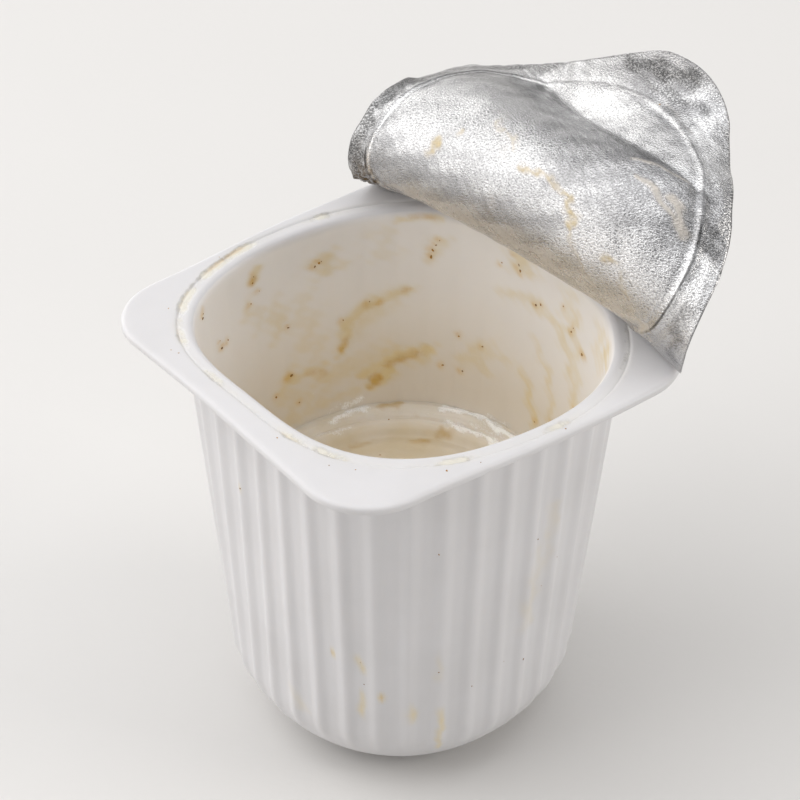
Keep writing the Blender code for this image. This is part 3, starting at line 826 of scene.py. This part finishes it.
# Strength, half width in mm, then the smear's points on the sheet.
FOIL_SMEARS = (
    (1.0, 1.4, (-16.3, 2.9), (-15.6, 3.3)), (0.7, 0.9, (-13, -0.1)),
    (0.6, 0.9, (-8.1, -4.1), (-4.5, -3), (-1.7, -1.6)), (0.85, 0.8, (0.6, 0.5), (2.3, 0.5), (3.8, 0.5)),
    (0.75, 0.7, (3.4, 0.2), (6.3, 0.6), (8.5, 1.3), (10.2, 2.3)), (1.0, 1, (10.4, 2.5), (11.5, 4.4), (11.1, 6)),
    (0.64, 0.6, (11.1, 6), (13.2, 10), (15.5, 14)), (0.9, 1.2, (17.8, 8.4), (18.4, 8.6)),
    (0.68, 0.8, (19.6, 10.4), (21.9, 15.7), (23.5, 20.5)), (0.6, 0.45, (20.3, -23.8)),
)
# Painted shade: the rim where the foil turns away, the folded corner, and the strip along the imprint are
# painted darker.
FOIL_DARK = (
    (1.0, 2.1, (-30, 13.5), (-30.8, 6), (-31, 0), (-31, -10), (-30, -21.5), (-24.4, -28), (-14.7, -31),
     (-4, -32)),
    (0.95, 1.7, (15.5, -31.2), (19.6, -29.4), (23.3, -28.4), (26, -27.6)),
    (0.75, 0.9, (19.3, -26.1), (22.3, -25), (25.4, -23.8), (28.4, -22.9)),
    (0.45, 0.8, (16.7, -28.5), (20.3, -26.1)),
    (0.45, 0.8, (28.6, -8.1), (29.3, -4.3), (28.8, -0.6), (30.9, 0.8)), (0.6, 1.4, (29.4, 1), (31, 2.6)),
    (0.45, 0.4, (29.7, -22.5), (30.9, -16.9)), (0.62, 1.5, (29.4, 13), (29.5, 22)),
)
# Broad zones of painted shade and painted reflection, where the foil is painted darker or brighter.
FOIL_SHADE = (
    (0.8, 2.8, (-28, 3.5), (-24, 7.5), (-16, 7), (-8, 8.2), (2, 8.2), (7, 6.5)),
    (0.45, 2.2, (-16, 2.8), (-2, 3.8), (8, 1.8)), (0.85, 3.4, (7, -1.5), (13, -1.8), (19, -3), (27, -2)),
    (0.75, 2.4, (14, 1.5), (22, 2), (28, 1.5)), (1.0, 3, (15.5, -27), (21, -25.8), (25.5, -22.5)),
    (0.5, 2.4, (-30, -12), (-30, -22), (-22, -23)),
    (0.75, 4.5, (-28, -15), (-15, -18), (0, -16), (10, -12), (19, -7)),
)
FOIL_SHINE = (
    (0.85, 2.4, (-29, -5), (-22, -5.5), (-14, -5.4)), (0.35, 3, (-26, -9.5), (-4, -9.5)),
    (1.0, 2.8, (27.5, -19.4), (28.8, -15.4), (29.6, -11)), (1.0, 1.2, (29.8, 5), (30.1, 8), (29.1, 10.8)),
    (0.8, 2.2, (-15, -30), (-8, -29.5)), (0.35, 2.5, (-22, 14), (10, 14.5), (22, 18)),
)
# Painted shade before the sharp fold and a painted highlight beyond it, each ending at the fold. The fold's
# line: a point, the run along it and its length in mm, and how wide the change is.
FOLD_POINT, FOLD_RUN, FOLD_LENGTH, FOLD_BLUR = (-12, -31), (39.5, 25.6), 47.1, 0.6
NEAR_DARK = ((0.8, 1.9, (-8, -26), (0, -22.6), (8, -17.6), (14.5, -13.6), (21, -9.2)),)
FAR_SHINE = ((1.0, 2.8, (4, -25.6), (10, -22.8), (15.3, -19.7), (22.2, -13.8), (27, -9.5)),)
# A thin film of yogurt. Its broad first band, near the crease, is also a painted reflection of the beige pot on
# the curled foil.
FOIL_FILM = (
    (0.75, 2.6, (-24, 13.5), (-12.3, 12.6), (-4.1, 11.6), (6.8, 12.6), (16.4, 16), (24, 21)),
    (0.4, 1.2, (-2.8, 6.5), (-1, 10)), (1.0, 0.8, (24.3, -2.2), (25.6, -0.1), (26.4, 2.1)),
    (0.85, 0.5, (19.2, -4), (21.9, -2.6), (23.3, -1.3), (25.4, 1.2), (26.5, 2.7)),
    (0.8, 0.4, (17.6, -6.7), (21.7, -7.2), (25.9, -6)), (0.45, 0.4, (12.6, 9), (14, 13.6), (16, 14.8)),
    (0.35, 0.5, (21.5, -24), (26, -18)), (0.3, 1.4, (-9, -6), (-3, 0)),
)
# Where the imprint's crease gets a painted shade line, and where its crest gets a painted highlight line.
SEAM = (
    (1.0, 3, (-28.5, 9), (-27, 17)), (0.85, 4, (27.5, 2), (27, 12), (25.5, 22)), (0.55, 5, (26, -14), (28, -2)),
    (0.4, 6, (-28, -8), (-18, -25), (0, -28), (18, -25)),
)
CREST = (
    (0.9, 5, (-28, 12), (-29, 0), (-28, -12), (-22, -23), (-8, -27.5)), (0.4, 4, (14, -25), (25, -15)),
)
# Painted shade along the cut edge: how much, and over how many mm.
EDGE_DARK, EDGE_FADE = 0.6, 0.3


def on_foil(marks):
    """How strongly marks show on the sheet."""
    return wiped(across_mm, along_mm, marks)


beyond_fold = (across_mm - FOLD_POINT[0]) * FOLD_RUN[1] - (along_mm - FOLD_POINT[1]) * FOLD_RUN[0]
far_side = ease(0.5 + beyond_fold / FOLD_LENGTH / FOLD_BLUR)
from_edge = (rounded_square(sheet_angle, FLANGE_HALF, FLANGE_CORNER) - np.hypot(across, along)) / MM
dark = np.maximum(on_foil(FOIL_DARK), on_foil(NEAR_DARK) * (1 - far_side))
paint(
    lid,
    dark=np.maximum(dark, EDGE_DARK * bell(from_edge, EDGE_FADE)),
    shine=np.maximum(on_foil(FOIL_SHINE), on_foil(FAR_SHINE) * far_side),
    shade=on_foil(FOIL_SHADE), smear=on_foil(FOIL_SMEARS), film=on_foil(FOIL_FILM),
    seam=on_foil(SEAM), crest=on_foil(CREST), imprint=imprint, tuck=tuck,
)
thicken = lid.modifiers.new("thickness", "SOLIDIFY")
thicken.thickness = FOIL
thicken.offset = 0.0
shader, wire = start_material(lid, "aluminium_foil", Specular_IOR_Level=0.5)
# Noises on the flat sheet: the rolled-in emboss, a finer grain, clouds and ragged edges.
place = wire.layer("sheet", "Vector")
emboss = place.stretched((1.0, 1.5, 1.0), (0, 0, 0.6)).noise(2700.0, 2.0, 0.55, 0.5)
fine = place.noise(6000.0, 2.0, 0.6)
cloud = place.noise(90.0, 3.0, 0.55)
edges = place.noise(900.0, 3.0, 0.6)
smear = (wire.layer("smear") * (0.25 + 1.3 * edges)).step(0.12, 1.05)
# Yogurt film on the foil; near the crease it is also a painted reflection of the pot.
film = (wire.layer("film") * (0.1 + 0.8 * cloud + 1.0 * edges)).step(0.05, 1.1)
# Painted shade on the rim, the folded corner, the strip by the imprint and the cut edge.
dark = (wire.layer("dark") * (0.6 + 0.8 * emboss)).step(0.05, 0.95)
shine = wire.layer("shine")
tucked = wire.layer("tuck") * edges.step(0.3, 0.6)
# The imprint's painted shade line and painted highlight line, by how many mm they are outside it.
imprint = wire.layer("imprint")
seam = imprint.step(-0.35, -0.1) * imprint.step(0.0, 0.25, 1.0, 0.0) * wire.layer("seam")
crest = imprint.step(-0.85, -0.6) * imprint.step(-0.5, -0.3, 1.0, 0.0) * wire.layer("crest")
# The metal's colours with painted shade and painted highlights, then the lines and the yogurt over them.
raised = emboss.step(0.34, 0.5)
# Painted shade in the emboss pits, and the bright metal on the raised emboss.
plain = (raised * 0.8 + 0.2).mix(FOIL_DULL, FOIL_BRIGHT)
# Painted shade and painted reflection: broad zones of the metal painted darker or brighter.
shaded = (wire.layer("shade") * (0.7 + 0.2 * fine)).mix(plain, FOIL_SHADED)
shiny = (shine * (0.25 + 0.75 * raised)).mix(shaded, FOIL_MIRROR)
# The painted shade, crinkled darker and lighter with the emboss.
bare = (dark * 0.9).mix(shiny, emboss.step(0.44, 0.58).mix(MARGIN_PIT, MARGIN_BUMP))
# Painted shade line in the imprint's crease and painted highlight line on its crest.
lined = seam.mix((crest * 0.9).mix(bare, CREST_WHITE), CREASE_BLACK)
creamy = (film * 0.68).mix(lined, FOIL_CREAM)
smeared = (smear * 0.72).mix(creamy, smear.mix(FOIL_CREAM, FOIL_YELLOW))
relief = emboss * 0.8 + emboss.step(0.4, 0.56) * 0.12 + fine * 0.2 + (smear + film) * edges * 0.8
connect(
    shader,
    Base_Color=tucked.mix(smeared, TUCK_BROWN),
    Metallic=1.0 - 0.45 * film - 0.55 * smear - 0.25 * shine,
    Roughness=0.14 + 0.06 * cloud + 0.2 * film + 0.25 * smear,
    Normal=relief.bump(1.0, 0.13 * MM),
)
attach(lid, "root")
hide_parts("foil_lid")


# ---- Fruit specks: dark crumbs of pulp and seed husk, up to half a millimetre across, dried on to
# ---- the wall, the flange, the yogurt and the foil.
SPECK_DARK = (0.23, 0.1, 0.012)
SPECK_RUST = (0.48, 0.24, 0.02)
# Direction, height and size on the outer wall; direction, share of its width and size on the flange.
OUTER_SPECKS = (
    (-94.7, 52.3, 0.22), (-58.9, 29.7, 0.2), (-48.9, 24, 0.2), (-26.8, 52, 0.2), (-25.6, 27, 0.24),
    (-14.3, 22, 0.22), (-2, 24, 0.16), (5.6, 22.6, 0.24), (7.6, 46.8, 0.24), (16.7, 40.4, 0.18),
    (11.5, 36, 0.14), (-49.8, 28.8, 0.2), (60, 33, 0.22), (102, 50, 0.2), (150, 26, 0.24),
    (205, 44, 0.2), (172, 15, 0.18),
)
FLANGE_SPECKS = (
    (-70.7, 0.2, 0.22), (-54.4, 0.18, 0.18), (-48, 0.1, 0.2), (-26.2, 0.3, 0.26), (-17, 0.45, 0.18),
    (10, 0.55, 0.24), (-116.5, 0.15, 0.2), (-136.4, 0.12, 0.18), (-118.3, 0.35, 0.18), (-160, 0.05, 0.16),
)
# Direction, distance from the middle and size on the yogurt, and place and size on the foil.
YOGURT_SPECKS = (
    (147.4, 25.4, 0.24), (147.9, 23.1, 0.32), (124.6, 21.4, 0.26), (154.3, 16.6, 0.4), (60, 15, 0.3),
    (-40, 18, 0.3),
)
FOIL_SPECKS = (
    (-15.9, 3.1, 0.25), (-15.2, 3.8, 0.18), (20.4, -23.7, 0.3), (0.4, 0.9, 0.16), (10.6, 4.5, 0.16),
    (18.2, 8.2, 0.16),
)
# Specks on the yogurt lie on its ledge beyond this distance from the middle, and in the hollow within it.
LEDGE_START = 21.8
LEDGE_SPECKS, HOLLOW_SPECKS = YOGURT_LEVEL - 0.5 * MM, HOLLOW_LEVEL + 0.05 * MM


def lumps(centres, facing, sizes):
    """A small uneven ellipsoid for each centre, 5 rings by 8 points, flattened along its facing
    direction: radius times (sin v cos u, sin v sin u, 0.45 cos v) in a frame on the surface. Each
    point's radius varies at random, and so do each lump's length and the way it lies."""
    v = np.linspace(0.25, math.pi - 0.25, 5)[:, None]
    u = np.arange(8) * (math.pi / 4)
    ball = np.stack([np.sin(v) * np.cos(u), np.sin(v) * np.sin(u), 0.45 * np.cos(v) + 0 * u], axis=-1)
    ball = ball * dice.uniform(0.7, 1.25, (len(centres), 5, 8, 1))
    ball[..., 0] *= dice.uniform(0.8, 1.9, (len(centres), 1, 1))
    first = np.cross(facing, dice.normal(size=facing.shape))
    first /= np.linalg.norm(first, axis=1, keepdims=True)
    frames = np.stack([first, np.cross(facing, first), facing], axis=1)
    return centres[:, None, None] + np.einsum("nrcj,njk->nrck", ball, frames) * sizes[:, None, None, None] / 2


def on_surface(place, first, second):
    """Points of a surface and its unit normals there, from small steps in angle and in height."""
    tiny = 1e-5
    point = place(first, second)
    facing = np.cross(place(first + tiny, second) - point, place(first, second + tiny * 0.03) - point)
    return point, facing / np.linalg.norm(facing, axis=1, keepdims=True)


# Each group: the specks' places, the directions that they face, and their sizes.
groups = []
dice = np.random.default_rng(23)
for marks, place in (
    (INNER_SPECKS, lambda angle, height: wall_ring(angle, height, wall_at(height))),
    (OUTER_SPECKS, lambda angle, height: wall_ring(angle, height, 0 * height, FLUTE_HEIGHT)),
):
    direction, level, size = np.array(marks).T
    groups.append((*on_surface(place, np.radians(direction), level * MM), size))
direction, share, size = np.array(FLANGE_SPECKS).T
inner = wall_ring(np.radians(direction), RIM_HEIGHT + 0 * direction, -LAND_START)
point = inner + (flange_ring(np.radians(direction), LAND_END, 0) - inner) * share[:, None]
groups.append((point, 0 * point + (0, 0, 1), size))
direction, radius, size = np.array(YOGURT_SPECKS).T
height = np.where(radius > LEDGE_START, LEDGE_SPECKS, HOLLOW_SPECKS)
point = level_ring(np.radians(direction), radius * MM, height)
groups.append((point, 0 * point + (0, 0, 1), size))
x, y, size = np.array(FOIL_SPECKS).T
column = np.argmin(np.abs(along_mm[:, :1] - y), axis=0)
nearest = np.argmin(np.abs(across_mm[column] - x[:, None]), axis=1)
groups.append((sheet[column, nearest], -normal[column, nearest], size))
centres, facing, sizes = (np.concatenate(parts) for parts in zip(*groups))
specks = surface("fruit_specks", lumps(centres, facing, sizes * MM), closed=True)
shader, wire = start_material(specks, "fruit_speck", Roughness=0.38, Specular_IOR_Level=0.5)
place = wire.node("TexCoord", output="Object")
connect(
    shader,
    Base_Color=place.noise(900.0).step(0.38, 0.62).mix(SPECK_DARK, SPECK_RUST),
    Normal=place.noise(9000.0).bump(0.3, 0.1 * MM),
)
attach(specks, "root")
